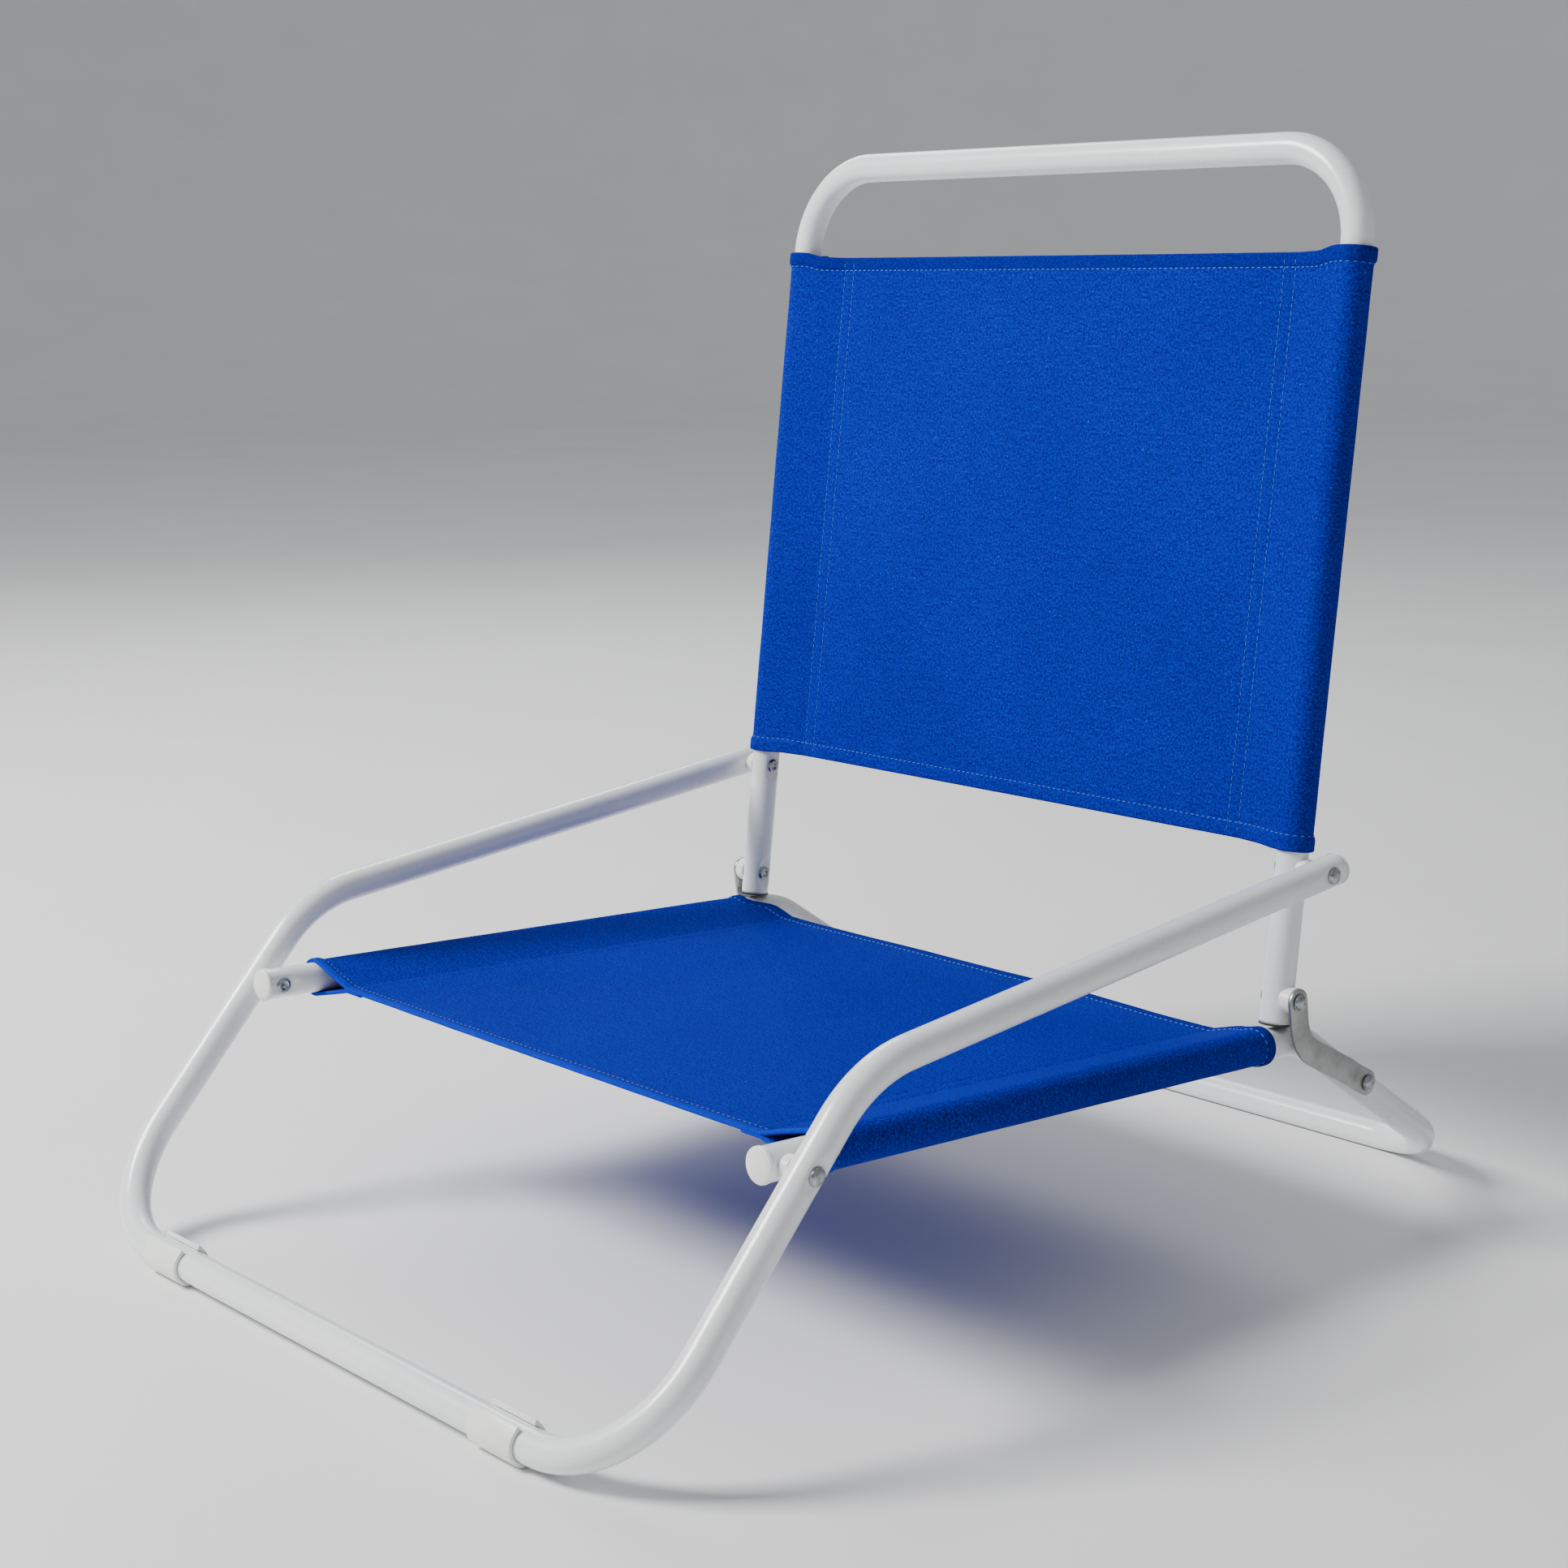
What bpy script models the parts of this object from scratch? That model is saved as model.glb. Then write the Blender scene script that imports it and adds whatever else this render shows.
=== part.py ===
"""Low folding camp chair: white steel tube, blue fabric seat and back.

Metres, +Z up. X runs across the chair, the sitter faces -Y, and the floor is Z = 0.
The origin is on the floor under the middle of the chair's bounding box.
Three bent tubes make the chair: the seat frame with the rear leg, the arm frame with
the front leg, and the back frame. Two flat links tie the back to the rear leg, so
the chair folds as a four-bar linkage on each side.
"""
import math

import bmesh
import bpy
from mathutils import Matrix, Vector

# ---------------------------------------------------------------- tube stock
TUBE_R = 0.0100          # 20 mm tube
WALL = 0.0010
TUBE_SIDES = 20
GAP = 0.0003             # clearance between touching pieces
BEND_STEP = math.radians(10.0)

# ---------------------------------------------------------------- frame layout
RAIL_X = 0.2480          # seat rails and back uprights share one plane per side
ARM_X = 0.2722           # arm frame, outside the rails
ORIGIN_Y = 0.2901        # middle of the footprint, measured from the layout's zero

FRONT_BAR = (-0.0779, 0.0125)
KNEE = (0.0884, 0.1966)
ARM_REAR = (0.4893, 0.2411)
KNEE_BEND = 0.085
FLOOR_BEND = 0.075

RAIL_FRONT = (0.0377, 0.1509)
RAIL_REAR = (0.4868, 0.1283)
REAR_BAR = (0.6606, 0.0100)
RAIL_BEND = 0.050
REAR_FLOOR_BEND = 0.060

UPRIGHT_FOOT = (0.4650, 0.1427)
HANDLE = (0.5341, 0.6794)
HANDLE_BEND = 0.060

# ---------------------------------------------------------------- pivots (y, z)
PIVOT_ARM_BACK = (0.4774, 0.2398)    # arm to back
PIVOT_ARM_SEAT = (0.0467, 0.1504)    # arm to seat
PIVOT_BACK_LINK = (0.4668, 0.1584)   # back to link
PIVOT_LEG_LINK = (0.5460, 0.0885)    # rear leg to link

# ---------------------------------------------------------------- small parts
SHANK_R = 0.0028
HOLE_R = 0.0031
HEAD_R = 0.0055
HEAD_H = 0.0026
TAIL_R = 0.0048
TAIL_H = 0.0018
SPACER_R = 0.0072
LINK_SPACER_R = 0.0085
SADDLE = 0.0034          # how far a spacer reaches down the side of its tube
LINK_SADDLE = 0.0050

LINK_W = 0.0170
LINK_T = 0.0020
LINK_CORNER = (0.4705, 0.1290)
LINK_BEND = 0.030
LINK_STEP_TOP = 0.0300   # the offset starts this far from the leg rivet
LINK_STEP_LOW = 0.0120   # and is flat again this far from it
LINK_ARC = 6             # facets round each end and in the bend
LINK_X_LEG = RAIL_X + TUBE_R + 0.0006      # inner face where it lies on the leg
LINK_X_BACK = RAIL_X + TUBE_R + 0.0048     # inner face where the spacer holds it off

CAP_FLANGE_R = 0.0105
CAP_SPIGOT_R = TUBE_R - WALL - GAP
CAP_SPIGOT_L = 0.0050

CLIP_X = 0.1735
CLIP_LENGTH = 0.0390
CLIP_T = 0.0022
CLIP_LIP = 0.0009
CLIP_SLOT = math.radians(50.0)

# ---------------------------------------------------------------- fabric
CLOTH_T = 0.0010
PANEL_T = 0.0016
SLEEVE_R = TUBE_R + GAP                    # inside of the sleeve on its tube
SEAM_X = 0.2000                            # where the sleeve is sewn to the panel
SEAT_FRONT_Y = 0.0740
SEAT_REAR_Y = 0.4599
BACK_BOTTOM_Z = 0.2530
BACK_TOP_Z = 0.6168

WHITE_STEEL = ("white_powder_coat", (0.86, 0.88, 0.88), 0.28, 0.0)
ZINC = ("zinc", (0.72, 0.73, 0.75), 0.25, 1.0)
WHITE_PLASTIC = ("white_plastic", (0.84, 0.84, 0.80), 0.45, 0.0)
BLACK_PLASTIC = ("black_plastic", (0.03, 0.03, 0.03), 0.5, 0.0)
BACK_CLOTH = ("blue_back_cloth", (0.003, 0.066, 0.480), 0.85, 0.0)
SEAT_CLOTH = ("blue_seat_cloth", (0.003, 0.060, 0.440), 0.85, 0.0)


# ================================================================ helpers
def clear_scene():
    for obj in list(bpy.data.objects):
        bpy.data.objects.remove(obj, do_unlink=True)


def material(spec):
    name, colour, rough, metal = spec
    mat = bpy.data.materials.get(name)
    if mat is None:
        mat = bpy.data.materials.new(name)
        mat.use_nodes = True
        mat.diffuse_color = (*colour, 1.0)
        shader = mat.node_tree.nodes["Principled BSDF"]
        shader.inputs["Base Color"].default_value = (*colour, 1.0)
        shader.inputs["Roughness"].default_value = rough
        shader.inputs["Metallic"].default_value = metal
    return mat


def at(x, pivot):
    """A layout point (y, z) in side plane x, in the part's own frame."""
    return Vector((x, pivot[0] - ORIGIN_Y, pivot[1]))


def pivot_empty(name, pivot):
    empty = bpy.data.objects.new(name, None)
    empty.location = at(0.0, pivot)
    empty.empty_display_size = 0.03
    bpy.context.scene.collection.objects.link(empty)
    return empty


def add_object(name, bm, spec, pivot=None, location=None):
    """Turn a bmesh in the part's frame into an object that rides on a pivot empty."""
    origin = Vector(location) if location is not None else Vector((0, 0, 0))
    if location is None and pivot is not None:
        origin = pivot.location.copy()
    bmesh.ops.translate(bm, verts=bm.verts, vec=-origin)
    mesh = bpy.data.meshes.new(name)
    bm.to_mesh(mesh)
    bm.free()
    mesh.materials.append(material(spec))
    mesh.shade_smooth()
    mesh.set_sharp_from_angle(angle=math.radians(35.0))
    obj = bpy.data.objects.new(name, mesh)
    bpy.context.scene.collection.objects.link(obj)
    obj.location = origin
    if pivot is not None:
        obj.parent = pivot
        obj.location = origin - pivot.location
    return obj


def add_cutter(name, bm):
    mesh = bpy.data.meshes.new(name)
    bm.to_mesh(mesh)
    bm.free()
    obj = bpy.data.objects.new(name, mesh)
    bpy.context.scene.collection.objects.link(obj)
    obj.hide_render = True
    obj.display_type = 'WIRE'
    return obj


def cut(obj, cutter, label):
    mod = obj.modifiers.new(label, 'BOOLEAN')
    mod.operation = 'DIFFERENCE'
    mod.solver = 'EXACT'
    mod.object = cutter


def look_along(direction):
    """Rotation that turns +Z to the given direction."""
    return Vector(direction).to_track_quat('Z', 'Y').to_matrix().to_4x4()


def bend(bm, edges, start, way_in, way_out, radius):
    """Spin an open ring round one bend and return the ring it ends on."""
    axis = way_in.cross(way_out).normalized()
    angle = way_in.angle(way_out)
    centre = start + axis.cross(way_in).normalized() * radius
    steps = max(3, round(angle / BEND_STEP))
    spun = bmesh.ops.spin(bm, geom=edges, cent=centre, axis=axis, angle=angle,
                          steps=steps, use_duplicate=False)
    return [g for g in spun["geom_last"] if isinstance(g, bmesh.types.BMEdge)]


def run(bm, edges, offset):
    """Extrude an open ring along a straight length."""
    grown = bmesh.ops.extrude_edge_only(bm, edges=edges)["geom"]
    verts = [g for g in grown if isinstance(g, bmesh.types.BMVert)]
    bmesh.ops.translate(bm, verts=verts, vec=offset)
    return [g for g in grown if isinstance(g, bmesh.types.BMEdge)]


def bent_tube(corners, radii):
    """Skin of a tube through the corner points, with a bend radius at each inner one."""
    bm = bmesh.new()
    first = (corners[1] - corners[0]).normalized()
    place = Matrix.Translation(corners[0]) @ look_along(first)
    ring = bmesh.ops.create_circle(bm, cap_ends=False, segments=TUBE_SIDES,
                                   radius=TUBE_R, matrix=place)
    edges = list({e for v in ring["verts"] for e in v.link_edges})
    here = corners[0]
    for i, radius in enumerate(radii, start=1):
        way_in = (corners[i] - corners[i - 1]).normalized()
        way_out = (corners[i + 1] - corners[i]).normalized()
        reach = radius * math.tan(way_in.angle(way_out) / 2.0)
        start = corners[i] - way_in * reach
        edges = run(bm, edges, start - here)
        edges = bend(bm, edges, start, way_in, way_out, radius)
        here = corners[i] + way_out * reach
    run(bm, edges, corners[-1] - here)
    bmesh.ops.recalc_face_normals(bm, faces=bm.faces)
    return bm


def add_tube(name, corners, radii, pivot, holes):
    """A bent tube with a real wall, open ends and drilled rivet holes."""
    obj = add_object(name, bent_tube(corners, radii), WHITE_STEEL, pivot)
    wall = obj.modifiers.new("Wall", 'SOLIDIFY')
    wall.thickness = WALL
    wall.offset = -1.0
    wall.use_even_offset = True
    bm = bmesh.new()
    for centre in holes:
        place = Matrix.Translation(centre) @ look_along((1, 0, 0))
        bmesh.ops.create_cone(bm, cap_ends=True, segments=16, radius1=HOLE_R,
                              radius2=HOLE_R, depth=4.0 * TUBE_R, matrix=place)
    cut(obj, add_cutter(name + "_drill", bm), "Rivet holes")
    return obj


def turned(profile, centre, direction, sides=20):
    """Solid of revolution: profile is (height, radius) from end to end."""
    bm = bmesh.new()
    verts = [bm.verts.new((r, 0.0, h)) for h, r in profile]
    edges = [bm.edges.new(pair) for pair in zip(verts, verts[1:])]
    bmesh.ops.spin(bm, geom=verts + edges, cent=(0, 0, 0), axis=(0, 0, 1),
                   angle=2.0 * math.pi, steps=sides, use_merge=True,
                   use_duplicate=False)
    bmesh.ops.remove_doubles(bm, verts=bm.verts, dist=1e-6)
    bmesh.ops.recalc_face_normals(bm, faces=bm.faces)
    place = Matrix.Translation(centre) @ look_along(direction)
    bmesh.ops.transform(bm, matrix=place, verts=bm.verts)
    return bm


def dome(radius, height, base, steps=3):
    """Points of a shallow dome from its rim up to its crown."""
    points = []
    for i in range(steps + 1):
        turn = 0.5 * math.pi * i / steps
        points.append((base + height * math.sin(turn), radius * math.cos(turn)))
    points[-1] = (base + height, 0.0)
    return points


def rivet_profile(grip, tail=True):
    """Domed head above 0, shank down through the grip, small clinched tail below."""
    points = dome(HEAD_R, HEAD_H, GAP)
    points = list(reversed(points))
    points.append((GAP, SHANK_R))
    if tail:
        points.append((-grip - GAP, SHANK_R))
        points.append((-grip - GAP, TAIL_R))
        points.append((-grip - GAP - 0.6 * TAIL_H, TAIL_R))
        points.append((-grip - GAP - TAIL_H, 0.55 * TAIL_R))
        points.append((-grip - GAP - TAIL_H, 0.0))
    else:
        points.append((-grip, SHANK_R))
        points.append((-grip, 0.0))
    return points


# ================================================================ fabric
def sleeve_loop(side, radius, reach, half):
    """Teardrop round one tube, from the seam over the tube and back to the seam."""
    steps = 12
    tip_x = side * reach
    away = RAIL_X - reach
    tangent = math.acos(radius / away)
    points = [(tip_x, half)]
    for i in range(steps + 1):
        turn = tangent + (2.0 * math.pi - 2.0 * tangent) * i / steps
        points.append((side * (RAIL_X - radius * math.cos(turn)),
                       radius * math.sin(turn)))
    points.append((tip_x, -half))
    return points


def sling_section(bm, origin, up):
    """Flat faces of a sling's cross-section: two teardrop sleeves and the panel."""
    def put(x, v):
        return bm.verts.new(origin + Vector((x, 0, 0)) + up * v)

    ends = []
    for side in (-1, 1):
        outer_loop = sleeve_loop(side, SLEEVE_R + CLOTH_T, SEAM_X, 0.5 * PANEL_T)
        inner_loop = sleeve_loop(side, SLEEVE_R, SEAM_X + 0.004, 0.0002)
        outer = [put(*p) for p in outer_loop]
        inner = [put(*p) for p in inner_loop]
        for i in range(len(outer) - 1):
            bm.faces.new((outer[i], outer[i + 1], inner[i + 1], inner[i]))
        bm.faces.new((outer[0], inner[0], inner[-1], outer[-1]))
        ends.append((outer[0], outer[-1]))
    (left_top, left_low), (right_top, right_low) = ends
    bm.faces.new((left_top, right_top, right_low, left_low))


def add_sling(name, start, end, spec, pivot):
    """A fabric panel with sleeves, drawn between two points of the tube's axis."""
    along = (end - start).normalized()
    up = Vector((1, 0, 0)).cross(along).normalized()
    bm = bmesh.new()
    sling_section(bm, start, up)
    grown = bmesh.ops.extrude_face_region(bm, geom=list(bm.faces))["geom"]
    verts = [g for g in grown if isinstance(g, bmesh.types.BMVert)]
    bmesh.ops.translate(bm, verts=verts, vec=end - start)
    bmesh.ops.recalc_face_normals(bm, faces=bm.faces)
    return add_object(name, bm, spec, pivot)


# ================================================================ small pieces
def add_cap(name, end, direction, spec, pivot, thickness, crown):
    """End plug: a flange or dome outside the tube and a spigot inside it."""
    profile = [(GAP - CAP_SPIGOT_L, 0.0), (GAP - CAP_SPIGOT_L, CAP_SPIGOT_R - 0.0008),
               (GAP - CAP_SPIGOT_L + 0.0010, CAP_SPIGOT_R), (GAP, CAP_SPIGOT_R),
               (GAP, CAP_FLANGE_R)]
    if crown > 0.0:
        profile += dome(CAP_FLANGE_R, crown, GAP + thickness, 4)
    else:
        profile += [(GAP + thickness, CAP_FLANGE_R), (GAP + thickness, 0.0)]
    return add_object(name, turned(profile, end, direction), spec, pivot, end)


def add_spacer(name, side, pivot_yz, x_low, x_high, radius, tubes, pivot):
    """Plastic disc between two pieces, hollowed where it sits on a round tube."""
    centre = at(side * 0.5 * (x_low + x_high), pivot_yz)
    depth = x_high - x_low
    bm = bmesh.new()
    profile = [(-0.5 * depth, HOLE_R), (-0.5 * depth, radius), (0.5 * depth, radius),
               (0.5 * depth, HOLE_R), (-0.5 * depth, HOLE_R)]
    verts = [bm.verts.new((r, 0.0, h)) for h, r in profile[:-1]]
    edges = [bm.edges.new((verts[i], verts[(i + 1) % 4])) for i in range(4)]
    bmesh.ops.spin(bm, geom=verts + edges, cent=(0, 0, 0), axis=(0, 0, 1),
                   angle=2.0 * math.pi, steps=20, use_merge=True, use_duplicate=False)
    bmesh.ops.remove_doubles(bm, verts=bm.verts, dist=1e-6)
    bmesh.ops.recalc_face_normals(bm, faces=bm.faces)
    place = Matrix.Translation(centre) @ look_along((side, 0, 0))
    bmesh.ops.transform(bm, matrix=place, verts=bm.verts)
    obj = add_object(name, bm, WHITE_PLASTIC, pivot, centre)
    for number, (axis_x, way) in enumerate(tubes):
        cutter = bmesh.new()
        spot = at(side * axis_x, pivot_yz)
        bmesh.ops.create_cone(cutter, cap_ends=True, segments=32,
                              radius1=TUBE_R + GAP, radius2=TUBE_R + GAP, depth=0.06,
                              matrix=Matrix.Translation(spot) @ look_along(way))
        cut(obj, add_cutter(f"{name}_saddle_{number}", cutter), "Saddle")
    return obj


def link_outline():
    """Rows of the link from its top end to its leg end: (left, right, lift)."""
    top = Vector(PIVOT_BACK_LINK)
    low = Vector(PIVOT_LEG_LINK)
    corner = Vector(LINK_CORNER)
    down = (corner - top).normalized()
    back = (low - corner).normalized()
    turn = down.angle(back)
    bend_start = corner - down * LINK_BEND * math.tan(0.5 * turn)
    inside = (back - down * back.dot(down)).normalized()
    hub = bend_start + inside * LINK_BEND
    half = 0.5 * LINK_W
    rows = []

    def add_row(spot, way, reach, width, lift):
        across = Vector((-way.y, way.x)) * width
        rows.append((spot + way * reach + across, spot + way * reach - across, lift))

    for i in range(LINK_ARC, 0, -1):
        a = 0.5 * math.pi * i / LINK_ARC
        add_row(top, down, -half * math.sin(a), half * math.cos(a), 1.0)
    add_row(top, down, 0.0, half, 1.0)
    for i in range(LINK_ARC + 1):
        a = turn * i / LINK_ARC
        spoke = down * math.sin(a) - inside * math.cos(a)
        way = down * math.cos(a) + inside * math.sin(a)
        add_row(hub + spoke * LINK_BEND, way, 0.0, half, 1.0)
    add_row(low, back, -LINK_STEP_TOP, half, 1.0)
    add_row(low, back, -LINK_STEP_LOW, half, 0.0)
    for i in range(LINK_ARC + 1):
        a = 0.5 * math.pi * i / LINK_ARC
        add_row(low, back, half * math.sin(a), half * math.cos(a), 0.0)
    return rows


def add_link(name, side, pivot):
    """Flat steel link, bent in its plane, stepped off the tube towards its upper end."""
    bm = bmesh.new()
    rows = []
    for left, right, lift in link_outline():
        x = side * (LINK_X_LEG + (LINK_X_BACK - LINK_X_LEG) * lift)
        row = [bm.verts.new(at(x, left))]
        if (left - right).length > 1e-7:
            row.append(bm.verts.new(at(x, right)))
        rows.append(row)
    for one, two in zip(rows, rows[1:]):
        bm.faces.new(one + list(reversed(two)))
    grown = bmesh.ops.extrude_face_region(bm, geom=list(bm.faces))["geom"]
    verts = [g for g in grown if isinstance(g, bmesh.types.BMVert)]
    bmesh.ops.translate(bm, verts=verts, vec=(side * LINK_T, 0, 0))
    bmesh.ops.recalc_face_normals(bm, faces=bm.faces)
    obj = add_object(name, bm, WHITE_STEEL, pivot)
    holes = bmesh.new()
    for spot in (PIVOT_BACK_LINK, PIVOT_LEG_LINK):
        place = Matrix.Translation(at(side * LINK_X_BACK, spot)) @ look_along((1, 0, 0))
        bmesh.ops.create_cone(holes, cap_ends=True, segments=16, radius1=HOLE_R,
                              radius2=HOLE_R, depth=0.03, matrix=place)
    cut(obj, add_cutter(name + "_drill", holes), "Rivet holes")
    return obj


def add_clip(name, side, pivot):
    """Snap-on floor glide: an open ring round the front bar with two raised lips."""
    inner = TUBE_R + GAP
    outer = inner + CLIP_T
    lip = outer + CLIP_LIP
    steps = 16
    sweep = 2.0 * math.pi - CLIP_SLOT
    start = 0.5 * math.pi + 0.5 * CLIP_SLOT
    centre = at(side * CLIP_X, FRONT_BAR)
    bm = bmesh.new()
    rows = []
    for i in range(steps + 1):
        turn = start + sweep * i / steps
        way = Vector((0, math.cos(turn), math.sin(turn)))
        far = lip if i in (0, steps) else outer
        rows.append((bm.verts.new(centre + way * inner), bm.verts.new(centre + way * far)))
    for a, b in zip(rows, rows[1:]):
        bm.faces.new((a[0], a[1], b[1], b[0]))
    grown = bmesh.ops.extrude_face_region(bm, geom=list(bm.faces))["geom"]
    verts = [g for g in grown if isinstance(g, bmesh.types.BMVert)]
    bmesh.ops.translate(bm, verts=verts, vec=(CLIP_LENGTH, 0, 0))
    bmesh.ops.translate(bm, verts=bm.verts, vec=(-0.5 * CLIP_LENGTH, 0, 0))
    bmesh.ops.recalc_face_normals(bm, faces=bm.faces)
    return add_object(name, bm, WHITE_PLASTIC, pivot)


# ================================================================ the chair
clear_scene()
links_pivot = pivot_empty("links_pivot", PIVOT_LEG_LINK)
back_pivot = pivot_empty("back_pivot", PIVOT_BACK_LINK)
arms_pivot = pivot_empty("arms_pivot", PIVOT_ARM_SEAT)

# seat frame with the rear leg: one tube, open at the two front ends
add_tube("seat_leg_frame",
         [at(-RAIL_X, RAIL_FRONT), at(-RAIL_X, RAIL_REAR), at(-RAIL_X, REAR_BAR),
          at(RAIL_X, REAR_BAR), at(RAIL_X, RAIL_REAR), at(RAIL_X, RAIL_FRONT)],
         [RAIL_BEND, REAR_FLOOR_BEND, REAR_FLOOR_BEND, RAIL_BEND], None,
         [at(s * RAIL_X, p) for s in (-1, 1) for p in (PIVOT_ARM_SEAT, PIVOT_LEG_LINK)])

# arm frame with the front leg: one tube, open at the two armrest ends
add_tube("arm_leg_frame",
         [at(-ARM_X, ARM_REAR), at(-ARM_X, KNEE), at(-ARM_X, FRONT_BAR),
          at(ARM_X, FRONT_BAR), at(ARM_X, KNEE), at(ARM_X, ARM_REAR)],
         [KNEE_BEND, FLOOR_BEND, FLOOR_BEND, KNEE_BEND], arms_pivot,
         [at(s * ARM_X, p) for s in (-1, 1) for p in (PIVOT_ARM_SEAT, PIVOT_ARM_BACK)])

# back frame: one inverted U, open at its two feet
add_tube("back_frame",
         [at(-RAIL_X, UPRIGHT_FOOT), at(-RAIL_X, HANDLE), at(RAIL_X, HANDLE),
          at(RAIL_X, UPRIGHT_FOOT)],
         [HANDLE_BEND, HANDLE_BEND], back_pivot,
         [at(s * RAIL_X, p) for s in (-1, 1) for p in (PIVOT_ARM_BACK, PIVOT_BACK_LINK)])


def along_line(p, q, value, index):
    """Point of the line p-q whose coordinate number `index` has the given value."""
    t = (value - p[index]) / (q[index] - p[index])
    return (p[0] + t * (q[0] - p[0]), p[1] + t * (q[1] - p[1]))


add_sling("seat_fabric",
          at(0.0, along_line(RAIL_FRONT, RAIL_REAR, SEAT_FRONT_Y, 0)),
          at(0.0, along_line(RAIL_FRONT, RAIL_REAR, SEAT_REAR_Y, 0)), SEAT_CLOTH, None)
add_sling("back_fabric",
          at(0.0, along_line(UPRIGHT_FOOT, HANDLE, BACK_BOTTOM_Z, 1)),
          at(0.0, along_line(UPRIGHT_FOOT, HANDLE, BACK_TOP_Z, 1)), BACK_CLOTH, back_pivot)

rail_way = at(0, RAIL_FRONT) - at(0, RAIL_REAR)
arm_way = at(0, ARM_REAR) - at(0, KNEE)
leg_way = at(0, FRONT_BAR) - at(0, KNEE)
foot_way = at(0, UPRIGHT_FOOT) - at(0, HANDLE)
inner_face = RAIL_X - TUBE_R
arm_outer = ARM_X + TUBE_R
arm_inner = ARM_X - TUBE_R
rail_outer = RAIL_X + TUBE_R

for side, tag in ((-1, "L"), (1, "R")):
    out = (side, 0, 0)
    add_cap(f"seat_front_cap_{tag}", at(side * RAIL_X, RAIL_FRONT), rail_way,
            WHITE_PLASTIC, None, 0.0022, 0.0022)
    add_cap(f"armrest_end_cap_{tag}", at(side * ARM_X, ARM_REAR), arm_way,
            WHITE_PLASTIC, arms_pivot, 0.0008, 0.0036)
    add_cap(f"upright_foot_plug_{tag}", at(side * RAIL_X, UPRIGHT_FOOT), foot_way,
            BLACK_PLASTIC, back_pivot, 0.0012, 0.0)
    add_clip(f"foot_clip_{tag}", side, arms_pivot)
    add_link(f"back_link_{tag}", side, links_pivot)

    # arm to seat: one rivet through both tubes
    add_object(f"arm_seat_rivet_{tag}",
               turned(rivet_profile(arm_outer - inner_face),
                      at(side * arm_outer, PIVOT_ARM_SEAT), out),
               ZINC, arms_pivot, at(side * arm_outer, PIVOT_ARM_SEAT))
    # rear leg to link: through the link and the leg
    add_object(f"leg_link_rivet_{tag}",
               turned(rivet_profile(LINK_X_LEG + LINK_T - inner_face),
                      at(side * (LINK_X_LEG + LINK_T), PIVOT_LEG_LINK), out),
               ZINC, None, at(side * (LINK_X_LEG + LINK_T), PIVOT_LEG_LINK))
    # back to link: through the link, the spacer and the upright
    add_object(f"back_link_rivet_{tag}",
               turned(rivet_profile(LINK_X_BACK + LINK_T - inner_face),
                      at(side * (LINK_X_BACK + LINK_T), PIVOT_BACK_LINK), out),
               ZINC, back_pivot, at(side * (LINK_X_BACK + LINK_T), PIVOT_BACK_LINK))
    # arm to back, the pivot that is left open: each half stays in its own tube
    add_object(f"arm_back_rivet_{tag}",
               turned(rivet_profile(2.0 * TUBE_R, tail=False),
                      at(side * arm_outer, PIVOT_ARM_BACK), out),
               ZINC, arms_pivot, at(side * arm_outer, PIVOT_ARM_BACK))
    add_object(f"arm_back_rivet_tail_{tag}",
               turned(rivet_profile(2.0 * TUBE_R, tail=False),
                      at(side * inner_face, PIVOT_ARM_BACK), (-side, 0, 0)),
               ZINC, back_pivot, at(side * inner_face, PIVOT_ARM_BACK))

    add_spacer(f"arm_seat_spacer_{tag}", side, PIVOT_ARM_SEAT,
               rail_outer + GAP, arm_inner + SADDLE, SPACER_R,
               [(ARM_X, leg_way)], arms_pivot)
    add_spacer(f"arm_back_spacer_{tag}", side, PIVOT_ARM_BACK,
               rail_outer - SADDLE, arm_inner - GAP, SPACER_R,
               [(RAIL_X, foot_way)], back_pivot)
    add_spacer(f"back_link_spacer_{tag}", side, PIVOT_BACK_LINK,
               rail_outer - LINK_SADDLE, LINK_X_BACK - GAP, LINK_SPACER_R,
               [(RAIL_X, foot_way)], back_pivot)
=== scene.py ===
"""Low folding chair: finished tubes, links, rivets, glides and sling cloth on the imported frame.

Metres, +Z up. X runs across the chair and the sitter faces -Y.
"""

import math

import bmesh
import bpy
from mathutils import Matrix, Vector, noise


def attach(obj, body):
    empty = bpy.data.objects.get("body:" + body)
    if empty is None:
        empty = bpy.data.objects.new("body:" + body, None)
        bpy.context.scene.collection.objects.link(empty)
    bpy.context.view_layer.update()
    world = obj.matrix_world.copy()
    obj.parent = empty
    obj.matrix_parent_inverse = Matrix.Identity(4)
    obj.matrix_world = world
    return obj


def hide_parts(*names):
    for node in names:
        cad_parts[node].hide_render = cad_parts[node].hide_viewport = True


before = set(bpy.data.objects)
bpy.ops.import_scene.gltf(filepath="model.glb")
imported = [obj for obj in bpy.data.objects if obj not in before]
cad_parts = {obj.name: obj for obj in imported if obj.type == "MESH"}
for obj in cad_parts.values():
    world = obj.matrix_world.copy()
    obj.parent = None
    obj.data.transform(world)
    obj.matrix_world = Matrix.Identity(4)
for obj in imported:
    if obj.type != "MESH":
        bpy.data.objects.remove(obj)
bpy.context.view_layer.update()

# ------------------------------------------------------------ the frame's layout (y, z)
TUBE_R = 0.0100
WALL = 0.0010
TUBE_SIDES = 40
RAIL_X = 0.2480
ARM_X = 0.2722
ORIGIN_Y = 0.2901
SEAT_BENDS = [0.050, 0.060, 0.060, 0.050]
ARM_BENDS = [0.085, 0.075, 0.075, 0.085]
BACK_BENDS = [0.060, 0.060]

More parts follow.
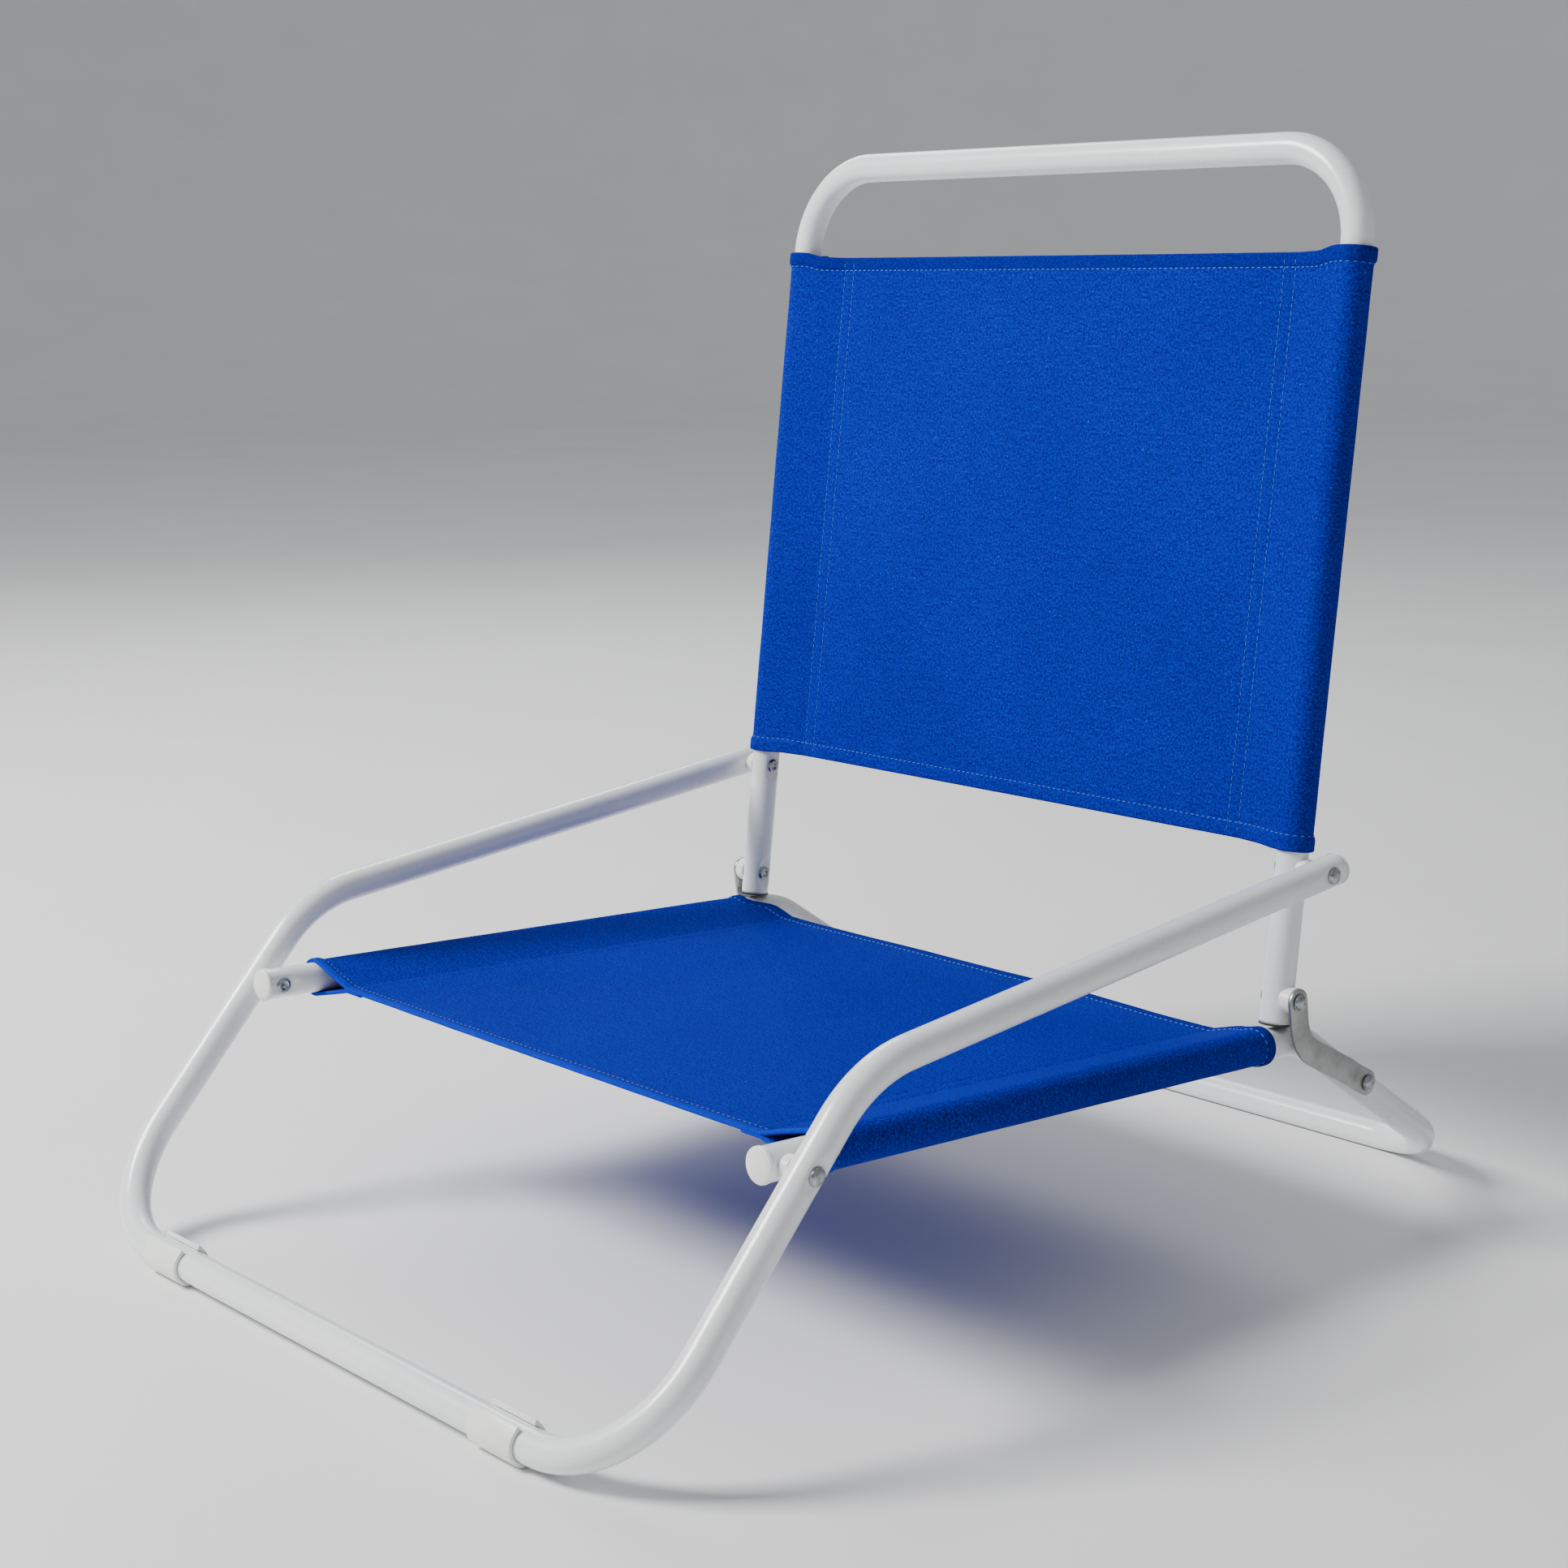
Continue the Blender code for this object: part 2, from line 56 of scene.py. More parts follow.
FRONT_BAR = (-0.0779, 0.0125)
KNEE = (0.0884, 0.1966)
ARM_REAR = (0.4893, 0.2411)
RAIL_FRONT = (0.0377, 0.1509)
RAIL_REAR = (0.4868, 0.1283)
REAR_BAR = (0.6606, 0.0100)
UPRIGHT_FOOT = (0.4650, 0.1427)
HANDLE = (0.5341, 0.6794)

ARM_BACK = (0.4774, 0.2398)
ARM_SEAT = (0.0467, 0.1504)
BACK_LINK = (0.4668, 0.1584)
LEG_LINK = (0.5460, 0.0885)

DENT_DEPTH = 0.0020
DENT_FLAT = 0.0056
DENT_EDGE = 0.0135
DENT_CUTS = 7              # cuts either side of a dent's middle
DENT_CUT_STEP = 0.002
CLEAR_OF_MIDDLE = 0.15     # everything on one side of the chair lies past this x

SHANK_R = 0.0028
HEAD_R = 0.0056
HEAD_H = 0.0034
WASHER_BORE_R = 0.0031
ARM_WASHER_R = 0.0072
LINK_WASHER_R = 0.0085
LINK_W = 0.0170
LINK_T = 0.0020
LINK_CORNER = (0.4705, 0.1290)
LINK_BEND = 0.030
LINK_X_LEG = RAIL_X + TUBE_R + 0.0006
LINK_X_BACK = RAIL_X + TUBE_R + 0.0048
LINK_STEP_TOP = 0.032
LINK_STEP_LOW = 0.010
LINK_STEPS = 8

GLIDE_X = 0.1735
GLIDE_LENGTH = 0.039
GLIDE_INNER = TUBE_R + 0.0002
GLIDE_OUTER = TUBE_R + 0.0025
GLIDE_LIP = 0.0009
GLIDE_SLOT = math.radians(50.0)
GLIDE_STEPS = 40

# ------------------------------------------------------------ cloth
CLOTH_T = 0.0010
SLEEVE_R = 0.0109          # middle of the cloth where it goes round a tube
SEAM_TIP = 0.2060          # the two layers of a sleeve meet here
SEAM_OUTER = 0.2045
SEAM_INNER = 0.1955
ALLOWANCE_END = 0.1900
LAYER = 0.0006             # from the middle plane to either layer at the seam
STITCH_PITCH = 0.0045
STITCH_LENGTH = 0.0031
STITCH_R = 0.00042
STITCH_PROUD = 0.00012
THREAD_PITCH = 0.00085
TURN_UP = 0.0008           # radius of the fold at a hem
HEM_STEP = 0.00035         # height of a hem's edge over the single cloth
HEM_DIP = 0.00030          # how far a line of stitches pulls the cloth down
SEAM_DIP = 0.00032
PUCKER = 0.00010
RIPPLE = 0.00045
CLOTH_BLUES = ((0.0, 0.004, 0.135), (0.0, 0.008, 0.280), (0.0, 0.034, 0.520))
SEAT_LAST_HEM = 0.3784     # distances along the cut past which the cloth is darkened with painted shade
BACK_LAST_HEM = 0.3566
# the seat's cloth gets a painted highlight up to this distance, round its rolled front edge;
# NO_EDGE keeps it off the back
SEAT_FIRST_EDGE = 0.003
NO_EDGE = -0.1

COLUMN_PITCH = 0.0065      # spacing of the points across the flat panel
PANEL_COLUMNS = 29
ROW_COUNT = 64

# ------------------------------------------------------------ view
SENSOR_WIDTH = 36.0        # millimetres, like the lens
LENS = 61.69
CAMERA_X = 1.25931
CAMERA_YZ = (-0.84071, 0.61407)
CAMERA_TURN = (48.433, -11.01, -0.685)     # yaw, pitch and roll in degrees

SIDES = ((-1, "L"), (1, "R"))


def at(x, spot):
    """Point at x across the chair, on a (y, z) spot of the layout."""
    return Vector((x, spot[0] - ORIGIN_Y, spot[1]))


# ============================================================ finishes
class Finish:
    """A Principled material with short calls for the nodes that feed it."""

    def __init__(self, name, colour, roughness, **fixed):
        self.mat = bpy.data.materials.new(name)
        self.mat.use_nodes = True
        self.tree = self.mat.node_tree
        self.shader = self.tree.nodes["Principled BSDF"]
        self.shader.inputs["Base Color"].default_value = (*colour, 1.0)
        self.shader.inputs["Roughness"].default_value = roughness
        for socket, value in fixed.items():
            self.shader.inputs[socket.replace("_", " ")].default_value = value

    def node(self, kind, **values):
        made = self.tree.nodes.new(kind)
        for key, value in values.items():
            if hasattr(made, key):
                setattr(made, key, value)
            else:
                made.inputs[key.replace("_", " ")].default_value = value
        return made

    def link(self, out, into):
        self.tree.links.new(out, into)

    def coords(self, kind="Object", scale=(1, 1, 1)):
        source = self.node("ShaderNodeTexCoord")
        place = self.node("ShaderNodeMapping")
        place.inputs["Scale"].default_value = scale
        self.link(source.outputs[kind], place.inputs["Vector"])
        return place.outputs["Vector"]

    def noise(self, vector, scale, detail=2.0, rough=0.5):
        tex = self.node("ShaderNodeTexNoise", Scale=scale, Detail=detail, Roughness=rough)
        self.link(vector, tex.inputs["Vector"])
        return tex.outputs["Fac"]

    def ramp(self, value, stops):
        ramp = self.node("ShaderNodeValToRGB")
        marks = ramp.color_ramp.elements
        while len(marks) < len(stops):
            marks.new(0.5)
        for mark, (spot, colour) in zip(marks, stops):
            mark.position = spot
            mark.color = (*colour, 1.0) if len(colour) == 3 else colour
        self.link(value, ramp.inputs["Fac"])
        return ramp.outputs["Color"]

    def span(self, value, low, high, to_low, to_high):
        made = self.node("ShaderNodeMapRange", clamp=True)
        for key, number in (("From Min", low), ("From Max", high),
                            ("To Min", to_low), ("To Max", to_high)):
            made.inputs[key].default_value = number
        self.link(value, made.inputs["Value"])
        return made.outputs["Result"]

    def math(self, kind, a, b=None):
        made = self.node("ShaderNodeMath", operation=kind)
        for slot, value in enumerate((a, b)):
            if value is None:
                continue
            if isinstance(value, (int, float)):
                made.inputs[slot].default_value = value
            else:
                self.link(value, made.inputs[slot])
        return made.outputs[0]

    def mix(self, factor, one, two, kind='MIX'):
        made = self.node("ShaderNodeMix", data_type='RGBA', blend_type=kind)
        for name, value in (("Factor", factor), ("A", one), ("B", two)):
            socket = next(s for s in made.inputs if s.name == name and s.enabled)
            if isinstance(value, (int, float)):
                socket.default_value = value
            elif isinstance(value, tuple):
                socket.default_value = (*value, 1.0)
            else:
                self.link(value, socket)
        return next(s for s in made.outputs if s.enabled)

    def bump(self, height, strength, distance, under=None):
        made = self.node("ShaderNodeBump", Strength=strength, Distance=distance)
        self.link(height, made.inputs["Height"])
        if under is not None:
            self.link(under, made.inputs["Normal"])
        return made.outputs["Normal"]

    def colour(self, out):
        self.link(out, self.shader.inputs["Base Color"])

    def roughness(self, out):
        self.link(out, self.shader.inputs["Roughness"])

    def normal(self, out):
        self.link(out, self.shader.inputs["Normal"])


def powder_coat(name, base, dull):
    """Glossy white powder coat: slight orange peel, faint grey scuffs and road dust."""
    fin = Finish(name, base, 0.25, Coat_Weight=0.35, Coat_Roughness=0.06)
    place = fin.coords()
    broad = fin.noise(place, 9.0, 3.0)
    tone = fin.ramp(broad, [(0.35, dull), (0.62, base)])
    specks = fin.noise(place, 420.0, 2.0, 0.6)
    scuffs = fin.span(specks, 0.74, 0.80, 0.0, 0.35)
    fin.colour(fin.mix(scuffs, tone, (0.45, 0.46, 0.46)))
    smears = fin.noise(place, 60.0, 4.0, 0.6)
    fin.roughness(fin.span(smears, 0.3, 0.75, 0.17, 0.34))
    peel = fin.noise(place, 700.0, 1.0)
    fin.normal(fin.bump(peel, 0.10, 0.0003))
    return fin.mat


def zinc_plate(name):
    """Bright zinc plating with a fine cloudy grain."""
    fin = Finish(name, (0.40, 0.42, 0.44), 0.25, Metallic=1.0)
    place = fin.coords()
    cloud = fin.noise(place, 350.0, 3.0, 0.6)
    fin.colour(fin.ramp(cloud, [(0.3, (0.22, 0.24, 0.26)), (0.7, (0.50, 0.52, 0.54))]))
    fin.roughness(fin.span(cloud, 0.3, 0.7, 0.16, 0.36))
    fin.normal(fin.bump(fin.noise(place, 1800.0, 2.0), 0.12, 0.0002))
    return fin.mat


def plated_strip(name):
    """Satin plated strip steel, slightly brushed across its width."""
    fin = Finish(name, (0.36, 0.38, 0.36), 0.35, Metallic=0.9)
    place = fin.coords()
    cloud = fin.noise(place, 70.0, 3.0, 0.6)
    fin.colour(fin.ramp(cloud, [(0.3, (0.27, 0.29, 0.27)), (0.7, (0.42, 0.44, 0.42))]))
    brushed = fin.noise(fin.coords("Object", (1.0, 1.0, 0.06)), 900.0, 2.0)
    fin.roughness(fin.span(brushed, 0.3, 0.7, 0.28, 0.46))
    fin.normal(fin.bump(brushed, 0.15, 0.0002))
    return fin.mat


def moulded(name, base, shade, rough_low, rough_high):
    """Moulded plastic: slightly cloudy, with a fine matt grain."""
    fin = Finish(name, base, rough_high)
    place = fin.coords()
    cloud = fin.noise(place, 45.0, 3.0)
    fin.colour(fin.ramp(cloud, [(0.3, shade), (0.65, base)]))
    fin.roughness(fin.span(cloud, 0.3, 0.7, rough_low, rough_high))
    fin.normal(fin.bump(fin.noise(place, 1500.0, 2.0), 0.15, 0.0002))
    return fin.mat


def woven(name, deep, middle, light, last_hem, first_edge):
    """Plain-weave polyester: fine crossed threads, a speckled yarn and a soft sheen, with painted
    shade past the last hem and a painted highlight along the first edge.
    """
    fin = Finish(name, middle, 0.8, Sheen_Weight=0.0, Sheen_Roughness=0.4)
    fin.shader.inputs["Specular IOR Level"].default_value = 0.05
    plane = fin.coords("UV")
    parts = fin.node("ShaderNodeSeparateXYZ")
    fin.link(plane, parts.inputs["Vector"])
    turns = math.pi / THREAD_PITCH
    warp = fin.math('SINE', fin.math('MULTIPLY', parts.outputs["X"], turns))
    weft = fin.math('SINE', fin.math('MULTIPLY', parts.outputs["Y"], turns))
    over = fin.math('ADD', fin.math('MULTIPLY', warp, weft), 1.0)
    threads = fin.math('MULTIPLY', over, 0.5)
    yarn = fin.noise(plane, 620.0, 3.0, 0.7)
    slub = fin.noise(fin.coords("UV", (0.25, 1.0, 1.0)), 300.0, 3.0, 0.7)
    broad = fin.noise(plane, 7.0, 3.0)
    tone = fin.ramp(yarn, [(0.38, deep), (0.50, middle), (0.64, light)])
    flecks = fin.span(fin.noise(plane, 420.0, 2.0, 0.4), 0.69, 0.75, 0.0, 0.45)
    tone = fin.mix(flecks, tone, (0.012, 0.20, 0.80))
    streaks = fin.mix(fin.span(slub, 0.45, 0.75, 0.0, 0.35), tone, light)
    tone = fin.mix(fin.span(broad, 0.3, 0.75, 0.0, 0.30), streaks, deep)
    # painted shade: the band from the last hem to the cloth's edge is darkened
    hem_band_shade = fin.math('GREATER_THAN', parts.outputs["Y"], last_hem)
    tone = fin.mix(fin.math('MULTIPLY', hem_band_shade, 0.45), tone, deep)
    # painted highlight: the cloth before the first edge, round the rolled front hem, is lightened
    rolled_edge_highlight = fin.span(parts.outputs["Y"], first_edge, first_edge + 0.001, 0.55, 0.0)
    fin.colour(fin.mix(rolled_edge_highlight, tone, light))
    fin.roughness(fin.span(yarn, 0.3, 0.7, 0.68, 0.90))
    coarse = fin.bump(yarn, 0.35, 0.0004)
    fin.normal(fin.bump(threads, 0.45, 0.0003, coarse))
    return fin.mat


def thread(name, base):
    """Sewing thread, a little darker in its twists."""
    fin = Finish(name, base, 0.55, Sheen_Weight=0.2)
    place = fin.coords()
    cloud = fin.noise(place, 900.0, 2.0)
    shade = tuple(0.6 * c for c in base)
    fin.colour(fin.ramp(cloud, [(0.3, shade), (0.6, base)]))
    fin.normal(fin.bump(cloud, 0.3, 0.0002))
    return fin.mat


COAT = powder_coat("white_powder_coat", (0.86, 0.875, 0.88), (0.80, 0.82, 0.83))
LINK_STEEL = plated_strip("satin_link_steel")
ZINC = zinc_plate("bright_zinc")
WHITE_PLASTIC = moulded("white_plastic", (0.86, 0.865, 0.85), (0.81, 0.815, 0.80), 0.30, 0.45)
# black plastic for the upright's foot plugs; their black is partly painted shade for the shadowed
# gap where the upright's end meets the seat tube
PLUG_BLACK_AND_GAP_SHADE = moulded("black_plastic", (0.030, 0.030, 0.032), (0.02, 0.02, 0.02), 0.4, 0.6)
BACK_CLOTH = woven("blue_back_cloth", *CLOTH_BLUES, BACK_LAST_HEM, NO_EDGE)
SEAT_CLOTH = woven("blue_seat_cloth", *CLOTH_BLUES, SEAT_LAST_HEM, SEAT_FIRST_EDGE)
# a darker copy of the thread: painted shade for the seat's front hem stitching, in the groove
# behind the rolled edge
SHADED_HEM_THREAD = thread("hem_thread_painted_shade", (0.001, 0.022, 0.260))
THREAD = thread("light_blue_thread", (0.002, 0.110, 0.600))


# ============================================================ pieces
def finish_piece(name, bm, material, body, nodes=(), sharp=40.0):
    """Turn a bmesh into a finished piece that rides on a body and stands for CAD nodes."""
    mesh = bpy.data.meshes.new(name)
    bm.to_mesh(mesh)
    bm.free()
    mesh.materials.append(material)
    mesh.shade_smooth()
    mesh.set_sharp_from_angle(angle=math.radians(sharp))
    piece = bpy.data.objects.new(name, mesh)
    bpy.context.scene.collection.objects.link(piece)
    if nodes:
        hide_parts(*nodes)
    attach(piece, body)
    return piece


def look_along(direction):
    return Vector(direction).to_track_quat('Z', 'Y').to_matrix().to_4x4()


def smooth_step(value, low, high):
    part = min(1.0, max(0.0, (value - low) / (high - low)))
    return part * part * (3.0 - 2.0 * part)


def new_edges(geom):
    return [g for g in geom if isinstance(g, bmesh.types.BMEdge)]


def tube_skin(corners, radii, radius=TUBE_R, sides=TUBE_SIDES, step=4.0):
    """Open-ended skin of a tube bent at its inner corners."""
    bm = bmesh.new()
    first = (corners[1] - corners[0]).normalized()
    place = Matrix.Translation(corners[0]) @ look_along(first)
    ring = bmesh.ops.create_circle(bm, cap_ends=False, segments=sides, radius=radius,
                                   matrix=place)
    edges = list({e for v in ring["verts"] for e in v.link_edges})
    here = corners[0]
    for i, bend in enumerate(radii, start=1):
        way_in = (corners[i] - corners[i - 1]).normalized()
        way_out = (corners[i + 1] - corners[i]).normalized()
        turn = way_in.angle(way_out)
        reach = bend * math.tan(0.5 * turn)
        start = corners[i] - way_in * reach
        edges = straight(bm, edges, start - here)
        axis = way_in.cross(way_out).normalized()
        centre = start + axis.cross(way_in).normalized() * bend
        spun = bmesh.ops.spin(bm, geom=edges, cent=centre, axis=axis, angle=turn,
                              steps=max(4, round(math.degrees(turn) / step)),
                              use_duplicate=False)
        edges = new_edges(spun["geom_last"])
        here = corners[i] + way_out * reach
    straight(bm, edges, corners[-1] - here)
    bmesh.ops.recalc_face_normals(bm, faces=bm.faces)
    return bm


def straight(bm, edges, offset):
    grown = bmesh.ops.extrude_edge_only(bm, edges=edges)["geom"]
    verts = [g for g in grown if isinstance(g, bmesh.types.BMVert)]
    bmesh.ops.translate(bm, verts=verts, vec=offset)
    return new_edges(grown)


def press_flat(bm, spot, direction, axis_x, faces_out):
    """Flatten the tube a little round a rivet, on its outer (+1) or inner (-1) side."""
    for side in (-1, 1):
        centre = at(side * axis_x, spot)
        for i in range(-DENT_CUTS, DENT_CUTS + 1):
            geom = [f for f in bm.faces if f.calc_center_median().x * side > CLEAR_OF_MIDDLE]
            edges = {e for f in geom for e in f.edges}
            verts = {v for f in geom for v in f.verts}
            bmesh.ops.bisect_plane(bm, geom=[*geom, *edges, *verts], dist=1e-5,
                                   plane_co=centre + direction * DENT_CUT_STEP * i,
                                   plane_no=direction)
        for vert in bm.verts:
            if vert.co.x * side < CLEAR_OF_MIDDLE:
                continue
            away = vert.co - centre
            depth = side * faces_out * away.x
            near = math.hypot(away.y, away.z)
            if depth <= 0.0 or near > DENT_EDGE:
                continue
            limit = TUBE_R - DENT_DEPTH * (1.0 - smooth_step(near, DENT_FLAT, DENT_EDGE))
            if depth > limit:
                vert.co.x = centre.x + side * faces_out * limit


def finish_tube(name, bm, body, node):
    tube = finish_piece(name, bm, COAT, body, (node,))
    wall = tube.modifiers.new("Wall", 'SOLIDIFY')
    wall.thickness = WALL
    wall.offset = -1.0
    return tube


def turned(profile, centre, direction, sides=32):
    """Solid of revolution from (height, radius) points, both ends on the axis or a ring."""
    bm = bmesh.new()
    verts = [bm.verts.new((r, 0.0, h)) for h, r in profile]
    closed = profile[0][1] > 0.0
    pairs = list(zip(verts, verts[1:]))
    if closed:
        pairs.append((verts[-1], verts[0]))
    edges = [bm.edges.new(pair) for pair in pairs]
    bmesh.ops.spin(bm, geom=verts + edges, cent=(0, 0, 0), axis=(0, 0, 1),
                   angle=2.0 * math.pi, steps=sides, use_merge=True, use_duplicate=False)
    bmesh.ops.remove_doubles(bm, verts=bm.verts, dist=1e-6)
    bmesh.ops.recalc_face_normals(bm, faces=bm.faces)
    bmesh.ops.transform(bm, matrix=Matrix.Translation(centre) @ look_along(direction),
                        verts=bm.verts)
    return bm


def dome(radius, height, base, steps=8):
    points = [(base + height * math.sin(0.5 * math.pi * i / steps),
               radius * math.cos(0.5 * math.pi * i / steps)) for i in range(steps)]
    return points + [(base + height, 0.0)]


# ------------------------------------------------------------ tubes
def along(p, q):
    return (at(0.0, q) - at(0.0, p)).normalized()


ARM_WAY = along(KNEE, ARM_REAR)
LEG_WAY = along(FRONT_BAR, KNEE)
RAIL_WAY = along(RAIL_FRONT, RAIL_REAR)
REAR_WAY = along(RAIL_REAR, REAR_BAR)
BACK_WAY = along(UPRIGHT_FOOT, HANDLE)


def make_tubes():
    seat = tube_skin([at(-RAIL_X, RAIL_FRONT), at(-RAIL_X, RAIL_REAR), at(-RAIL_X, REAR_BAR),
                      at(RAIL_X, REAR_BAR), at(RAIL_X, RAIL_REAR), at(RAIL_X, RAIL_FRONT)],
                     SEAT_BENDS)
    press_flat(seat, ARM_SEAT, RAIL_WAY, RAIL_X, -1)
    press_flat(seat, LEG_LINK, REAR_WAY, RAIL_X, -1)
    finish_tube("seat_and_rear_leg_tube", seat, "seat", "seat_leg_frame")

    arms = tube_skin([at(-ARM_X, ARM_REAR), at(-ARM_X, KNEE), at(-ARM_X, FRONT_BAR),
                      at(ARM_X, FRONT_BAR), at(ARM_X, KNEE), at(ARM_X, ARM_REAR)],
                     ARM_BENDS)
    press_flat(arms, ARM_SEAT, LEG_WAY, ARM_X, 1)
    press_flat(arms, ARM_BACK, ARM_WAY, ARM_X, 1)
    finish_tube("arm_and_front_leg_tube", arms, "arms", "arm_leg_frame")

    back = tube_skin([at(-RAIL_X, UPRIGHT_FOOT), at(-RAIL_X, HANDLE), at(RAIL_X, HANDLE),
                      at(RAIL_X, UPRIGHT_FOOT)], BACK_BENDS)
    press_flat(back, ARM_BACK, BACK_WAY, RAIL_X, -1)
    press_flat(back, BACK_LINK, BACK_WAY, RAIL_X, -1)
    finish_tube("back_tube", back, "back", "back_frame")


# ------------------------------------------------------------ caps, rivets, spacers
def make_cap(name, end, direction, material, body, node, rim, crown, radius=0.0105):
    spigot = TUBE_R - WALL - 0.0003
    profile = [(-0.0047, 0.0), (-0.0047, spigot - 0.0008), (-0.0037, spigot),
               (0.0002, spigot), (0.0002, radius - 0.0004), (0.0005, radius)]
    if crown > 0.0:
        profile.append((rim, radius))
        profile += dome(radius, crown, rim)[1:]
    else:
        profile += [(rim, radius), (rim + 0.0003, radius - 0.0003), (rim + 0.0003, 0.0)]
    finish_piece(name, turned(profile, end, direction, 40), material, body, (node,))


def rivet_head(seat_at):
    """Domed head with a small turned rim, seated at the given height."""
    rim = [(seat_at, 0.0), (seat_at, HEAD_R - 0.0003), (seat_at + 0.0003, HEAD_R),
           (seat_at + 0.0008, HEAD_R)]
    crown = dome(HEAD_R - 0.0004, HEAD_H - 0.0010, seat_at + 0.0010)
    return rim + crown


def rivet_tail(depth):
    """Rolled-over tail with a hollow middle, below the grip."""
    return [(-depth, 0.0), (-depth - 0.0002, 0.0030), (-depth - 0.0003, 0.0046),
            (-depth - 0.0010, 0.0050), (-depth - 0.0018, 0.0045), (-depth - 0.0021, 0.0033),
            (-depth - 0.0018, 0.0022), (-depth - 0.0010, 0.0018), (-depth - 0.0008, 0.0)]


def make_rivet(name, spot, x_out, x_in, side, body, nodes, head_seat, tail_seat):
    """Head on the outer side and tail on the inner side; the shank is inside the tubes."""
    bm = turned(rivet_head(head_seat), at(side * x_out, spot), (side, 0, 0), 28)
    if tail_seat is not None:
        depth = x_out - x_in + tail_seat
        tail = turned(rivet_tail(depth), at(side * x_out, spot), (side, 0, 0), 28)
        joined = bpy.data.meshes.new("joined")
        tail.to_mesh(joined)
        tail.free()
        bm.from_mesh(joined)
        bpy.data.meshes.remove(joined)
        middle = at(side * (x_out - 0.5 * (depth - head_seat)), spot)
        bmesh.ops.create_cone(bm, cap_ends=True, segments=20, radius1=SHANK_R,
                              radius2=SHANK_R, depth=depth + head_seat - 0.0004,
                              matrix=Matrix.Translation(middle) @ look_along((1, 0, 0)))
    finish_piece(name, bm, ZINC, body, nodes, 50.0)


def make_spacer(name, spot, x_low, x_high, radius, side, body, node, domed):
    """Round plastic spacer: flat on the turning side, its edge softened."""
    depth = x_high - x_low
    soft = 0.0008 if domed else 0.0004
    profile = [(-0.5 * depth, WASHER_BORE_R), (-0.5 * depth, radius), (0.5 * depth - soft, radius)]
    for i in range(1, 5):
        turn = 0.5 * math.pi * i / 4
        profile.append((0.5 * depth - soft + soft * math.sin(turn),
                        radius - soft + soft * math.cos(turn)))
    profile.append((0.5 * depth, WASHER_BORE_R))
    bm = turned(profile, at(side * 0.5 * (x_low + x_high), spot), (side, 0, 0), 40)
    finish_piece(name, bm, WHITE_PLASTIC, body, (node,), 50.0)


def make_small_pieces():
    rail_out = RAIL_X + TUBE_R
    rail_in = RAIL_X - TUBE_R
    arm_out = ARM_X + TUBE_R
    arm_in = ARM_X - TUBE_R
    dented = 0.0001 - DENT_DEPTH
    for side, tag in SIDES:
        make_cap(f"seat_cap_{tag}", at(side * RAIL_X, RAIL_FRONT), -RAIL_WAY, WHITE_PLASTIC,
                 "seat", f"seat_front_cap_{tag}", 0.0020, 0.0022)
        make_cap(f"armrest_cap_{tag}", at(side * ARM_X, ARM_REAR), ARM_WAY, WHITE_PLASTIC,
                 "arms", f"armrest_end_cap_{tag}", 0.0008, 0.0040, 0.0102)
        # black foot plug: partly painted shade for the shadowed gap at the upright's foot
        make_cap(f"foot_plug_{tag}", at(side * RAIL_X, UPRIGHT_FOOT), -BACK_WAY,
                 PLUG_BLACK_AND_GAP_SHADE, "back", f"upright_foot_plug_{tag}",
                 0.0010, 0.0)
        make_rivet(f"arm_seat_pin_{tag}", ARM_SEAT, arm_out, rail_in, side, "arms",
                   (f"arm_seat_rivet_{tag}",), dented, dented)
        make_rivet(f"leg_link_pin_{tag}", LEG_LINK, LINK_X_LEG + LINK_T, rail_in, side,
                   "seat", (f"leg_link_rivet_{tag}",), 0.0002, dented)
        make_rivet(f"back_link_pin_{tag}", BACK_LINK, LINK_X_BACK + LINK_T, rail_in, side,
                   "back", (f"back_link_rivet_{tag}",), 0.0002, dented)
        make_rivet(f"arm_back_pin_head_{tag}", ARM_BACK, arm_out, rail_in, side, "arms",
                   (f"arm_back_rivet_{tag}",), dented, None)
        bm = turned(rivet_tail(0.0), at(side * (rail_in + DENT_DEPTH), ARM_BACK),
                    (side, 0, 0), 28)
        finish_piece(f"arm_back_pin_tail_{tag}", bm, ZINC, "back",
                     (f"arm_back_rivet_tail_{tag}",), 50.0)
        make_spacer(f"arm_seat_washer_{tag}", ARM_SEAT, rail_out + 0.0003, arm_in + 0.0020,
                    ARM_WASHER_R, side, "arms", f"arm_seat_spacer_{tag}", False)
        make_spacer(f"arm_back_washer_{tag}", ARM_BACK, rail_out - 0.0020, arm_in - 0.0003,
                    ARM_WASHER_R, side, "back", f"arm_back_spacer_{tag}", False)
        make_spacer(f"back_link_washer_{tag}", BACK_LINK, rail_out - 0.0030,
                    LINK_X_BACK - 0.0002, LINK_WASHER_R, side, "back",
                    f"back_link_spacer_{tag}", True)


# ------------------------------------------------------------ links
def edges_across(bm, spot, way):
    """Edges that lie in the plane through a spot, square to a direction."""
    return [e for e in bm.edges
            if all(abs((v.co - spot).dot(way)) < 1e-6 for v in e.verts)]


def round_end(bm, edges, centre, axis):
    """Sweep a radial edge half round the rivet's centre."""
    bmesh.ops.spin(bm, geom=edges, cent=centre, axis=axis, angle=math.pi, steps=20,
                   use_duplicate=False)


